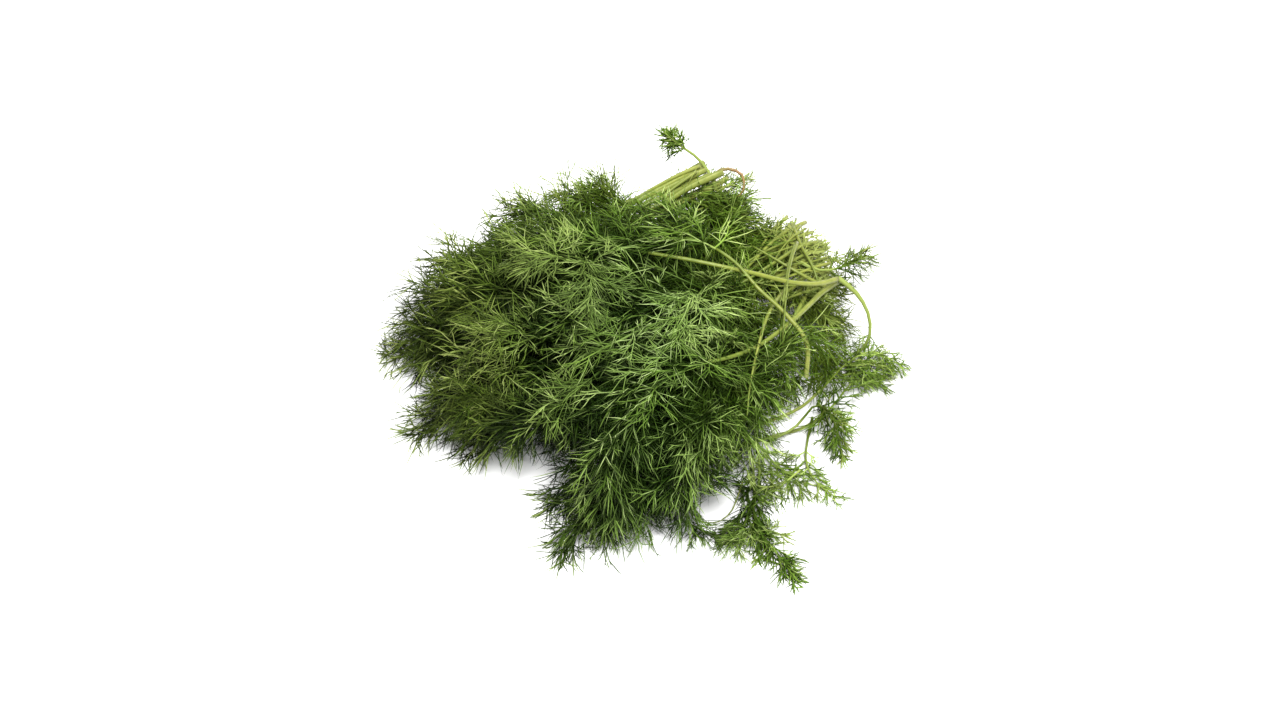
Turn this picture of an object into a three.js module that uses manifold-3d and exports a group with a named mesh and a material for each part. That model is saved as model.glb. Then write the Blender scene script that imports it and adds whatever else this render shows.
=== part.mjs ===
// Dill bunch: cut sprigs of dill lying loosely in a heap on a table. Millimetres, +Z up.
// Each sprig is a pale bare stem and a green leaf. A leaf is a thin axis that carries feathers,
// and a feather is a rib with a row of thread-like segments on each side and one at its tip.
// The origin is on the table under the middle of the heap. The cut ends lie towards +X and +Y.
import * as THREE from "three";
import Module from "manifold-3d";

const wasm = await Module();
wasm.setup();

// ---- Driving dimensions ----
const HEAP_CENTRE = [3.9, 3.7]; // middle of the heap's box in the routes' own X and Y
const GAP = 0.35; // clear space between two sprigs, and between a stem and its leaf
const SAME_LEAF_GAP = 0.1; // clear space between two feathers of one leaf

const STEP = 21; // length of one straight step of a stem or axis
const STEM_SIDES = 6;
const AXIS_SIDES = 4;
const TAPER = 0.62; // share of the cut end's radius that is gone at the tip
const LEAF_SLIMMER = 0.72; // a leaf's axis beside the stem that it continues
const LEAST_RADIUS = 0.8; // of a leaf's axis, so that the ribs' roots stay inside it
const AXIS_OVERLAP = 1.5; // how far the axis runs on over its end feather's rib

const FEATHER_SPACING = 34; // along the axis, between feathers of one side
const LONGEST_FEATHER = 42; // at the base of a leaf
const SHORTEST_FEATHER = 27; // near its tip
const END_FEATHER = 36; // the feather that ends each leaf
const FEATHER_LEAN = 48; // degrees from the axis's own direction
const LOWEST_RISE = -22; // degrees that a feather points down or up from level
const HIGHEST_RISE = 44;
const FORWARD_BEND = 0.35; // how strongly a feather bends along the axis
const SAG = 0.3; // and down under its own weight

const RIB_RADIUS = 0.54;
const RIB_TIP_RADIUS = 0.4;
const THREAD_PITCH = 4; // along the rib
const THREAD_LENGTH = 17.5;
const TIP_SHARE = 0.65; // length of the thread that ends a rib, beside the others
const SHORTEST_SHARE = 0.62; // length of a rib's first and last threads, beside its longest
const THREAD_LEAN = 32; // degrees from the rib's own direction
const THREAD_LIFT = 0.26; // how far every second thread stands above the feather's plane
const THREAD_DROP = 0.14; // and how far the others stand below it

const SETTLE_ROUNDS = 90; // passes in which the stems press each other apart
const SETTLE_EVENING = 0.12; // share of a bend taken out of a pressed stem in each pass
const TIP_ROOM = 3; // half the space that a leaf's end keeps for its threads meanwhile
const TRIES = 14; // places tried for a feather before it is left out
const FINEST_DETAIL = 0.02; // what joining leaves smaller than this is smoothed away

// ---- Materials ----
const STEM_MATERIAL = new THREE.MeshStandardMaterial({ color: "#a5b26c", roughness: 0.5, metalness: 0 });
const LEAF_MATERIAL = new THREE.MeshStandardMaterial({ color: "#4f6630", roughness: 0.62, metalness: 0 });

// ---- Sprigs ----
// route runs from the cut end to the leaf's tip. butt is the cut end's radius, and leafFrom is
// the share of the route that is bare stem. size scales a leaf's feathers where they aren't full
// grown, or are more than that. A slight sprig is green all along, as one piece.
const SPRIGS = [
  // over the top of the heap
  { name: "crown_left", butt: 1.5, leafFrom: 0.6,
    route: [[113, 49, 44], [102, 38, 52], [84, 30, 62], [67, 28, 70], [45, 27, 78], [11, 34, 80],
      [-28, 43, 76], [-71, 57, 58]] },
  { name: "crown_right", butt: 1.7, leafFrom: 0.66,
    route: [[114, 56, 34], [103, 40, 42], [88, 15, 52], [70, -11, 62], [51, -31, 70], [31, -41, 76],
      [5, -60, 76], [-21, -69, 60]] },
  { name: "crown_middle", butt: 1.6, leafFrom: 0.24,
    route: [[106, 83, 30], [68, 44, 44], [14, 9, 66], [-22, -9, 72], [-54, -7, 68], [-88, 3, 50]] },
  { name: "crown_front", butt: 1.6, leafFrom: 0.24,
    route: [[108, 83, 22], [59, 16, 42], [13, -32, 64], [-7, -66, 68], [-13, -86, 56], [-15, -99, 30]] },
  { name: "crown_low", butt: 1.6, leafFrom: 0.24,
    route: [[101, 107, 16], [45, 19, 34], [-5, -33, 54], [-42, -56, 54], [-83, -54, 32]] },
  { name: "front_drape", butt: 1.5, leafFrom: 0.26,
    route: [[105, 73, 24], [81, 8, 42], [52, -39, 56], [34, -68, 56], [27, -86, 42], [25, -97, 16]] },
  { name: "arched", butt: 1.4, leafFrom: 0.66,
    route: [[89, -18, 34], [91, -12, 42], [88, -4, 50], [79, 5, 58], [67, 14, 66], [58, 21, 72],
      [48, 32, 78], [28, 45, 80], [0, 59, 72]] },
  // from the cut ends at the back
  { name: "back_plume", butt: 2.1, leafFrom: 0.5, size: 0.9,
    route: [[48, 118, 62], [29, 106, 62], [6, 91, 60], [-20, 91, 57], [-46, 116, 49]] },
  { name: "back_left", butt: 2.1, leafFrom: 0.36, size: 1.05,
    route: [[37, 124, 60], [15, 107, 60], [-23, 82, 60], [-51, 87, 54], [-76, 107, 40]] },
  { name: "upper_left", butt: 2.1, leafFrom: 0.34, size: 1.15,
    route: [[44, 117, 52], [6, 94, 52], [-37, 63, 56], [-78, 64, 42], [-116, 80, 24]] },
  { name: "back_curl", butt: 1.6, leafFrom: 0.2, size: 0.95,
    route: [[9, 108, 52], [28, 102, 52], [44, 99, 46], [58, 94, 36], [72, 91, 26]] },
  // lying low, out to the left and the front
  { name: "left_upper", butt: 1.6, leafFrom: 0.24, size: 1.2,
    route: [[96, 106, 24], [46, 57, 36], [-17, 33, 54], [-80, 46, 42], [-131, 59, 16]] },
  { name: "left_tip", butt: 1.7, leafFrom: 0.26, size: 1.2,
    route: [[105, 108, 8], [53, 58, 16], [-23, 25, 34], [-90, 18, 24], [-145, 26, 5]] },
  { name: "left_between", butt: 1.6, leafFrom: 0.24, size: 1.15,
    route: [[89, 97, 30], [43, 51, 32], [-20, 24, 50], [-77, 30, 38], [-138, 41, 13]] },
  { name: "left_low", butt: 1.7, leafFrom: 0.26, size: 1.2,
    route: [[100, 123, 3], [47, 56, 5], [-23, 11, 20], [-82, -11, 16], [-126, -29, 3]] },
  { name: "left_lower", butt: 1.6, leafFrom: 0.26, size: 1.15,
    route: [[94, 130, 3], [44, 40, 5], [-10, -8, 18], [-58, -25, 16], [-102, -36, 3]] },
  { name: "front_left", butt: 1.7, leafFrom: 0.28, size: 1.05,
    route: [[112, 85, 14], [57, 25, 18], [7, -31, 30], [-24, -60, 26], [-44, -79, 4]] },
  { name: "front_low", butt: 1.7, leafFrom: 0.28, size: 1.1,
    route: [[105, 100, 4], [67, 29, 9], [22, -33, 22], [-13, -77, 24], [-42, -108, 3]] },
  { name: "front_tip", butt: 1.7, leafFrom: 0.3, size: 0.95,
    route: [[112, 81, 8], [76, 18, 18], [31, -47, 36], [0, -79, 30], [-20, -103, 3]] },
  { name: "open_spray", butt: 1.2, leafFrom: 0.5, size: 0.85,
    route: [[82, 40, 44], [71, 9, 60], [65, -14, 64], [61, -31, 54], [61, -35, 28], [66, -50, 6],
      [63, -78, 3], [48, -107, 2]] },
  // loose at the right
  { name: "right_far", butt: 1.2, leafFrom: 0.5, size: 0.62,
    route: [[55, -41, 4], [71, -35, 4], [90, -29, 4], [109, -14, 6], [124, 2, 10], [141, 5, 4]] },
  { name: "right_tip", butt: 1.1, leafFrom: 0.5, size: 0.6,
    route: [[53, -35, 10], [72, -26, 8], [92, -16, 10], [112, 6, 12], [129, 23, 12], [152, 17, 4]] },
  { name: "low_right", butt: 1, leafFrom: 0.36, size: 0.52, slight: true,
    route: [[53, -31, 20], [61, -50, 8], [62, -75, 5], [62, -96, 4], [71, -110, 3], [82, -128, 2]] },
  { name: "right_tuft", butt: 1, leafFrom: 0.5, size: 0.52, slight: true,
    route: [[70, -37, 3], [88, -30, 10], [102, -17, 14], [108, -29, 12], [112, -45, 3]] },
  { name: "right_small", butt: 0.9, leafFrom: 0.34, size: 0.5, slight: true,
    route: [[97, -22, 5], [93, -39, 3], [92, -55, 3], [97, -66, 3], [108, -76, 2]] },
  { name: "spray_right", butt: 0.9, leafFrom: 0.15, size: 0.8, slight: true,
    route: [[64, -39, 6], [72, -50, 4], [81, -59, 3], [91, -67, 2]] },
  { name: "right_top", butt: 1, leafFrom: 0.4, size: 0.6, slight: true,
    route: [[93, 66, 40], [108, 60, 38], [119, 64, 40], [132, 73, 38]] },
  { name: "right_under", butt: 1, leafFrom: 0.15, size: 0.8, slight: true,
    route: [[75, 49, 34], [90, 47, 30], [104, 43, 22], [117, 40, 10]] },
  { name: "right_edge", butt: 1.1, leafFrom: 0.15, size: 0.8, slight: true,
    route: [[76, 38, 22], [93, 32, 14], [105, 25, 8], [110, 5, 3]] },
  { name: "lone", butt: 1, leafFrom: 0.7, size: 0.5, slight: true,
    route: [[46, 109, 56], [38, 121, 66], [26, 126, 74], [16, 131, 79]] },
  { name: "right_loop", butt: 1.3, leafFrom: 0.7, size: 0.5, slight: true,
    route: [[114, 51, 42], [122, 47, 38], [130, 39, 30], [134, 32, 22], [132, 26, 14], [127, 22, 6]] },
  { name: "hanging", butt: 1, leafFrom: 0.7, size: 0.5, slight: true,
    route: [[91, 75, 46], [85, 48, 54], [81, 20, 60], [79, 7, 58], [79, -8, 50], [78, -10, 40]] },
  // underneath and behind
  { name: "behind_left", butt: 1.8, leafFrom: 0.28,
    route: [[98, 92, 8], [60, 96, 12], [5, 98, 26], [-50, 98, 22], [-104, 92, 2]] },
  { name: "behind_middle", butt: 2, leafFrom: 0.36,
    route: [[112, 62, 0], [78, 80, 0], [32, 98, 0], [4, 108, 8], [-42, 122, 2]] },
  { name: "behind_right", butt: 1.7, leafFrom: 0.2,
    route: [[20, 70, 40], [40, 83, 42], [58, 92, 36], [76, 94, 18]] },
];

// ---- Small helpers ----
const UP = new THREE.Vector3(0, 0, 1);
const { degToRad, lerp, clamp } = THREE.MathUtils;
const series = (count, make) => Array.from({ length: count }, (_, k) => make(k));

// A repeatable stream of numbers from 0 to 1.
function draws(seed) {
  let state = seed >>> 0;
  return () => {
    state = (state + 0x6d2b79f5) >>> 0;
    let t = Math.imul(state ^ (state >>> 15), 1 | state);
    t = (t + Math.imul(t ^ (t >>> 7), 61 | t)) ^ t;
    return ((t ^ (t >>> 14)) >>> 0) / 4294967296;
  };
}

// The level direction to the right of one direction, and the one that is up from both.
function sideways(along) {
  const side = along.clone().cross(UP).normalize();
  return { side, up: side.clone().cross(along) };
}

// A closed solid from points and triangles.
function solid(points, triangles) {
  const mesh = new wasm.Mesh({
    numProp: 3,
    vertProperties: new Float32Array(points.flatMap((p) => [p.x, p.y, p.z])),
    triVerts: new Uint32Array(triangles.flat()),
  });
  return new wasm.Manifold(mesh);
}

// ---- Stems ----
const APOTHEM = Math.cos(Math.PI / STEM_SIDES); // from a stem's middle to its flat underside

const stemRadius = (sprig, share) => sprig.butt * (1 - TAPER * share);
const axisRadius = (sprig, share) => Math.max(LEAST_RADIUS, LEAF_SLIMMER * stemRadius(sprig, share));

// A sprig laid along its route: even points, with the radius and the room that each keeps.
function lay(sprig) {
  const route = sprig.route.map(([x, y, z]) => new THREE.Vector3(x - HEAP_CENTRE[0], y - HEAP_CENTRE[1], z));
  const curve = new THREE.CatmullRomCurve3(route);
  const length = curve.getLength();
  const steps = Math.max(4, Math.round(length / STEP));
  const start = curve.getSpacedPoints(steps);
  const radii = start.map((_, k) => stemRadius(sprig, k / steps));
  return {
    sprig,
    size: sprig.size ?? 1,
    length,
    steps,
    start,
    points: start.map((p) => p.clone()),
    radii,
    room: radii.map((radius, k) => (k < steps - 2 ? radius + GAP : TIP_ROOM)),
  };
}

// How far along segments ab and cd their nearest points are, as shares of each.
function nearest(a, b, c, d) {
  const u = b.clone().sub(a);
  const v = d.clone().sub(c);
  const w = a.clone().sub(c);
  const uu = u.dot(u);
  const uv = u.dot(v);
  const vv = v.dot(v);
  const spread = uu * vv - uv * uv;
  const parallel = spread < 1e-6 * uu * vv;
  const s = parallel ? 0.5 : clamp((uv * v.dot(w) - vv * u.dot(w)) / spread, 0, 1);
  const t = clamp((v.dot(w) + s * uv) / vv, 0, 1);
  return [clamp((t * uv - u.dot(w)) / uu, 0, 1), t];
}

// Notes how two sprigs must move where they are too close.
function press(one, other, movesOne, movesOther) {
  for (let k = 0; k < one.steps; k++)
    for (let m = 0; m < other.steps; m++) {
      const [a, b] = [one.points[k], one.points[k + 1]];
      const [c, d] = [other.points[m], other.points[m + 1]];
      const room = one.room[k] + other.room[m];
      if (a.distanceTo(c) > room + 2.2 * STEP) continue;
      const [s, t] = nearest(a, b, c, d);
      const apart = a.clone().lerp(b, s).sub(c.clone().lerp(d, t));
      const distance = apart.length();
      if (distance >= room) continue;
      const push = distance > 0.01 ? apart.divideScalar(distance) : UP.clone();
      push.multiplyScalar((room - distance) / 2);
      movesOne[k].addScaledVector(push, 1 - s);
      movesOne[k + 1].addScaledVector(push, s);
      movesOther[m].addScaledVector(push, t - 1);
      movesOther[m + 1].addScaledVector(push, -t);
    }
}

// Evens out how far neighbouring points of a sprig have moved, and keeps it on the table.
function even(one) {
  const moved = one.points.map((p, k) => p.clone().sub(one.start[k]));
  one.points.forEach((p, k) => {
    const before = moved[Math.max(k - 1, 0)];
    const after = moved[Math.min(k + 1, one.steps)];
    const bend = before.clone().add(after).multiplyScalar(0.5).sub(moved[k]);
    p.addScaledVector(bend, SETTLE_EVENING);
    p.z = Math.max(p.z, one.radii[k] * APOTHEM);
  });
}

// The sprigs press each other apart until every two are clear, and none sinks into the table.
function settle(laid) {
  for (let round = 0; round < SETTLE_ROUNDS; round++) {
    const moves = laid.map((one) => one.points.map(() => new THREE.Vector3()));
    laid.forEach((one, i) => {
      for (let j = i + 1; j < laid.length; j++) press(one, laid[j], moves[i], moves[j]);
    });
    laid.forEach((one, i) => one.points.forEach((p, k) => p.add(moves[i][k])));
    laid.forEach(even);
  }
}

// The direction of a laid sprig at a step, from the points on either side of it.
function stepDirection(one, k) {
  const before = one.points[Math.max(k - 1, 0)];
  return one.points[Math.min(k + 1, one.steps)].clone().sub(before).normalize();
}

// The point and the direction at a share of a laid sprig's length.
function pointAt(one, share) {
  const k = Math.min(Math.floor(share * one.steps), one.steps - 1);
  return one.points[k].clone().lerp(one.points[k + 1], share * one.steps - k);
}

function directionAt(one, share) {
  const k = Math.min(Math.floor(share * one.steps), one.steps - 1);
  return stepDirection(one, k).lerp(stepDirection(one, k + 1), share * one.steps - k).normalize();
}

// A tube along a stretch of a laid sprig, with a flat side down and flat ends. A ring stands at
// each end and at each step between. radiusOf gives the radius at a share of the length.
function tube(one, from, to, radiusOf, sides) {
  const nearEnd = 2 / one.length;
  const steps = series(one.steps, (k) => k / one.steps);
  const shares = [from, ...steps.filter((share) => share > from + nearEnd && share < to - nearEnd), to];
  const points = shares.flatMap((share) => {
    const { side, up } = sideways(directionAt(one, share));
    return series(sides, (i) => {
      const turn = (Math.PI * (2 * i + 1)) / sides - Math.PI / 2;
      const across = pointAt(one, share).addScaledVector(side, radiusOf(share) * Math.cos(turn));
      return across.addScaledVector(up, radiusOf(share) * Math.sin(turn));
    });
  });
  const triangles = [];
  const at = (ring, i) => ring * sides + (i % sides);
  const last = shares.length - 1;
  for (let ring = 0; ring < last; ring++)
    for (let i = 0; i < sides; i++) {
      triangles.push([at(ring, i), at(ring + 1, i), at(ring, i + 1)]);
      triangles.push([at(ring, i + 1), at(ring + 1, i), at(ring + 1, i + 1)]);
    }
  for (let i = 1; i + 1 < sides; i++) {
    triangles.push([at(0, 0), at(0, i), at(0, i + 1)]);
    triangles.push([at(last, 0), at(last, i + 1), at(last, i)]);
  }
  return solid(points, triangles);
}

// ---- Feathers ----
// A thread's length beside the longest of its rib, at a share of the rib.
function threadShare(share) {
  return SHORTEST_SHARE + (1 - SHORTEST_SHARE) * Math.sin(Math.PI * Math.min(1, 0.15 + share));
}

// A rib with three faces and a pointed end. Each step of its two upper faces, apart from the step
// inside the axis, rises to the tip of one thread. across is level with the feather's plane.
function feather(path, across, threadLength) {
  const steps = path.length - 1;
  const ahead = path.map((_, k) => {
    const before = path[Math.max(k - 1, 0)];
    return path[Math.min(k + 1, steps)].clone().sub(before).normalize();
  });
  const side = ahead.map((along) => across.clone().addScaledVector(along, -across.dot(along)).normalize());
  const up = ahead.map((along, k) => side[k].clone().cross(along));
  const points = path.flatMap((p, k) => {
    const radius = lerp(RIB_RADIUS, RIB_TIP_RADIUS, k / steps);
    return [90, 210, 330].map((turn) => {
      const corner = p.clone().addScaledVector(side[k], radius * Math.cos(degToRad(turn)));
      return corner.addScaledVector(up[k], radius * Math.sin(degToRad(turn)));
    });
  });

  const triangles = [];
  const corner = (k, i) => 3 * k + i;
  const quad = (k, i, j) => [corner(k, i), corner(k + 1, i), corner(k + 1, j), corner(k, j)];
  const plain = ([a, b, c, d]) => triangles.push([a, b, c], [a, c, d]);
  const point = (base, tip) => {
    points.push(tip);
    base.forEach((a, i) => triangles.push([a, base[(i + 1) % base.length], points.length - 1]));
  };
  const thread = (k, hand, base) => {
    const lift = (k + (hand > 0)) % 2 ? THREAD_LIFT : -THREAD_DROP;
    const way = ahead[k].clone().multiplyScalar(Math.cos(degToRad(THREAD_LEAN)));
    way.addScaledVector(side[k], hand * Math.sin(degToRad(THREAD_LEAN)));
    way.addScaledVector(up[k], lift).normalize();
    const root = base.reduce((sum, i) => sum.add(points[i]), new THREE.Vector3()).divideScalar(4);
    point(base, root.addScaledVector(way, threadLength * threadShare((k - 0.5) / (steps - 1))));
  };

  triangles.push([corner(0, 0), corner(0, 1), corner(0, 2)]);
  for (let k = 0; k < steps; k++) plain(quad(k, 1, 2));
  plain(quad(0, 0, 1));
  plain(quad(0, 2, 0));
  for (let k = 1; k < steps; k++) {
    thread(k, -1, quad(k, 0, 1));
    thread(k, 1, quad(k, 2, 0));
  }
  const end = path[steps].clone().addScaledVector(ahead[steps], TIP_SHARE * threadLength);
  point([corner(steps, 2), corner(steps, 1), corner(steps, 0)], end);
  points.forEach((p) => (p.z = Math.max(p.z, 0)));
  return solid(points, triangles);
}

// How long the rib is in a feather of some length, and in how many steps it is built.
const ribLength = (length, size) => length - TIP_SHARE * size * THREAD_LENGTH;
const ribSteps = (length, size) => Math.max(3, Math.round(ribLength(length, size) / (size * THREAD_PITCH)));

// The share of a sprig's length at which the feather that ends its leaf begins.
const endStart = (one) => 1 - (one.size * END_FEATHER) / one.length;

// The feather that ends a leaf, along the last stretch of its route.
function endFeather(one, shorter, roll) {
  const length = shorter * one.size * END_FEATHER;
  const steps = ribSteps(length, one.size);
  const reach = ribLength(length, one.size) / one.length;
  const path = series(steps + 1, (k) => pointAt(one, endStart(one) + (k / steps) * reach));
  const { side } = sideways(path[steps].clone().sub(path[0]));
  return feather(path, side.addScaledVector(UP, roll).normalize(), one.size * THREAD_LENGTH);
}

// A side feather. It leaves the axis at a lean, bends forward and sinks a little under its weight.
function sideFeather(one, { share, length, hand, rise, lean }) {
  const base = clamp(share, 0, endStart(one));
  const root = pointAt(one, base);
  const along = directionAt(one, base);
  const { side, up } = sideways(along);
  const out = side.multiplyScalar(hand * Math.cos(rise)).addScaledVector(up, Math.sin(rise));
  const way = along.clone().multiplyScalar(Math.cos(lean)).addScaledVector(out, Math.sin(lean));
  const bend = along.clone().multiplyScalar(FORWARD_BEND).addScaledVector(UP, -SAG);
  const steps = ribSteps(length, one.size);
  const path = series(steps + 1, (k) => {
    const s = (k / steps) * ribLength(length, one.size);
    const p = root.clone().addScaledVector(way, s).addScaledVector(bend, (s * s) / (2 * length));
    p.z = Math.max(p.z, RIB_RADIUS / 2);
    return p;
  });
  const across = sideways(path[steps].clone().sub(path[0])).side;
  across.addScaledVector(UP, 0.5 * Math.sin(3 * rise + hand)).normalize();
  const grown = length / (one.size * LONGEST_FEATHER);
  return feather(path, across, lerp(0.72, 1, grown) * one.size * THREAD_LENGTH);
}

// ---- Keeping sprigs clear of each other ----
const placed = []; // every solid so far, with its node's name and its box

function place(node, made, isAxis = false) {
  placed.push({ node, made, isAxis, box: made.boundingBox() });
}

function boxesNear(a, b) {
  return [0, 1, 2].every((i) => a.min[i] < b.max[i] + GAP && b.min[i] < a.max[i] + GAP);
}

// True where a feather is clear of every other node, and of the other feathers of its own leaf.
function isClear(made, node) {
  const box = made.boundingBox();
  return placed.every((other) => {
    const own = other.node === node;
    if ((own && other.isAxis) || !boxesNear(box, other.box)) return true;
    const gap = own ? SAME_LEAF_GAP : GAP;
    return made.minGap(other.made, 2 * gap) >= gap;
  });
}

// Puts the first of some feathers that is clear on the leaf. Where none is, the leaf goes without.
function putFirstClear(leaf, feathers) {
  for (const made of feathers)
    if (isClear(made, leaf.node)) {
      leaf.parts.push(made);
      place(leaf.node, made);
      return;
    }
}

// ---- Sprigs with their leaves ----
const group = new THREE.Group();

function addMesh(name, made, material) {
  const { vertProperties, triVerts } = made.getMesh();
  const geometry = new THREE.BufferGeometry();
  geometry.setAttribute("position", new THREE.BufferAttribute(vertProperties, 3));
  geometry.setIndex(new THREE.BufferAttribute(triVerts, 1));
  geometry.computeVertexNormals();
  const mesh = new THREE.Mesh(geometry, material);
  mesh.name = name;
  group.add(mesh);
}

function addStem(one) {
  const { sprig } = one;
  const cut = sprig.leafFrom - GAP / 2 / one.length;
  const stem = tube(one, 0, cut, (share) => stemRadius(sprig, share), STEM_SIDES);
  place(sprig.name + "_stem", stem);
  addMesh(sprig.name + "_stem", stem, STEM_MATERIAL);
}

// A leaf as its bare axis, which its feathers are joined to later. number seeds their draws.
function startLeaf(one, number) {
  const { sprig, length } = one;
  const node = sprig.name + "_leaf";
  const from = sprig.slight ? 0 : sprig.leafFrom + GAP / 2 / length;
  const to = endStart(one) + AXIS_OVERLAP / length;
  const axis = tube(one, from, to, (share) => axisRadius(sprig, share), AXIS_SIDES);
  place(node, axis, true);
  const between = Math.sqrt(one.size) * FEATHER_SPACING;
  const room = (endStart(one) - sprig.leafFrom) * length;
  return { node, number, one, parts: [axis], count: Math.max(2, Math.round((2 * room) / between)) };
}

// Ways for an end feather to lie, the likeliest first.
function* endFeathers({ one }) {
  for (const shorter of [1, 0.85, 0.7])
    for (const roll of [0, 0.35, -0.35, 0.7, -0.7]) yield endFeather(one, shorter, roll);
}

// Ways for a leaf's side feather n to stand, counted from its base: as it grows, then bent aside.
function* sideFeathers({ one, number, count }, n) {
  const draw = draws(1000 * number + n);
  const grown = {
    share: lerp(one.sprig.leafFrom, endStart(one), (n + 0.6) / count),
    length: one.size * lerp(LONGEST_FEATHER, SHORTEST_FEATHER, n / count),
    hand: n % 2 ? 1 : -1,
    rise: degToRad(lerp(LOWEST_RISE, HIGHEST_RISE, draw())),
    lean: degToRad(FEATHER_LEAN + lerp(-7, 7, draw())),
  };
  yield sideFeather(one, grown);
  for (let turn = 1; turn < TRIES; turn++)
    yield sideFeather(one, {
      share: grown.share + ((draw() - 0.5) * FEATHER_SPACING) / one.length,
      length: grown.length * lerp(1, 0.75, turn / TRIES),
      hand: grown.hand,
      rise: grown.rise + (draw() - 0.45) * degToRad(40 + 10 * turn),
      lean: grown.lean + (draw() - 0.6) * degToRad(24),
    });
}

// A leaf in one piece, without the loose scraps that joining can leave.
function joined(parts) {
  const bodies = wasm.Manifold.union(parts).simplify(FINEST_DETAIL).decompose();
  return bodies.reduce((largest, body) => (body.volume() > largest.volume() ? body : largest));
}

// ---- The bunch ----
const laid = SPRIGS.map(lay);
settle(laid);
laid.filter((one) => !one.sprig.slight).forEach(addStem);

const leaves = laid.map(startLeaf);
leaves.forEach((leaf) => putFirstClear(leaf, endFeathers(leaf)));
const most = Math.max(...leaves.map((leaf) => leaf.count));
for (let n = 0; n < most; n++)
  for (const leaf of leaves) if (n < leaf.count) putFirstClear(leaf, sideFeathers(leaf, n));
for (const leaf of leaves) addMesh(leaf.node, joined(leaf.parts), LEAF_MATERIAL);

export default group;
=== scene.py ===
# Dill bunch: the looks. Each sprig's pale stem and fine feathery leaf is built along the same laid
# route as its CAD nodes and replaces them. Loose stalks and leaves, which no solid stands for, lie
# among them. Lengths are in millimetres until a piece is made.
import math

import bpy
import numpy as np
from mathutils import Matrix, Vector


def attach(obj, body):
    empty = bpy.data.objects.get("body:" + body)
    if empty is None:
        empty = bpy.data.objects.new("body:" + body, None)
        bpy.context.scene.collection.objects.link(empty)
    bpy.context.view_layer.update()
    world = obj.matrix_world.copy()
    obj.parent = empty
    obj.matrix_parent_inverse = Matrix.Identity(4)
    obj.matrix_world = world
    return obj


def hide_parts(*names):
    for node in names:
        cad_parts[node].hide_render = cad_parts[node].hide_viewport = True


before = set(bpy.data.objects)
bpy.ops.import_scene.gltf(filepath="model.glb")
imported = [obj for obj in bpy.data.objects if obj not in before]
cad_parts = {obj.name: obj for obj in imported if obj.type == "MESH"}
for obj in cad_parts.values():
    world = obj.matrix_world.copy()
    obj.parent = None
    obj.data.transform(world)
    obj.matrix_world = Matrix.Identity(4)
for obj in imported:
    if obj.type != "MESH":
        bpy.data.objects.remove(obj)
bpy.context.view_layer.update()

# ---- The laid sprigs, as the CAD lays them ----
HEAP_CENTRE = (3.9, 3.7)  # the frame's middle, as the routes count
GAP = 0.35  # kept free round each sprig, and between a stem and its leaf
STEP = 21.0  # between a sprig's points, about
FINE_STEPS = 200  # a route is measured in this many steps
TAPER = 0.62  # the share of its radius that a sprig loses from cut end to tip
LEAF_SLIMMER = 0.72  # a leaf's axis against the stem that it grows from
END_FEATHER = 36.0  # how far before its tip a leaf of size 1 gives way to its end feather
SETTLE_ROUNDS = 90
SETTLE_EVENING = 0.12  # the share of a kink that each round takes out
NEAR = 2.2 * STEP  # segments that start farther apart than this, past their room, can't touch
TIP_STEPS, TIP_ROOM = 2, 3.0  # the last steps of a sprig keep this much room for their feathers
APOTHEM = math.cos(math.pi / 6)  # a six-sided stem of the CAD lies on its flat side

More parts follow.
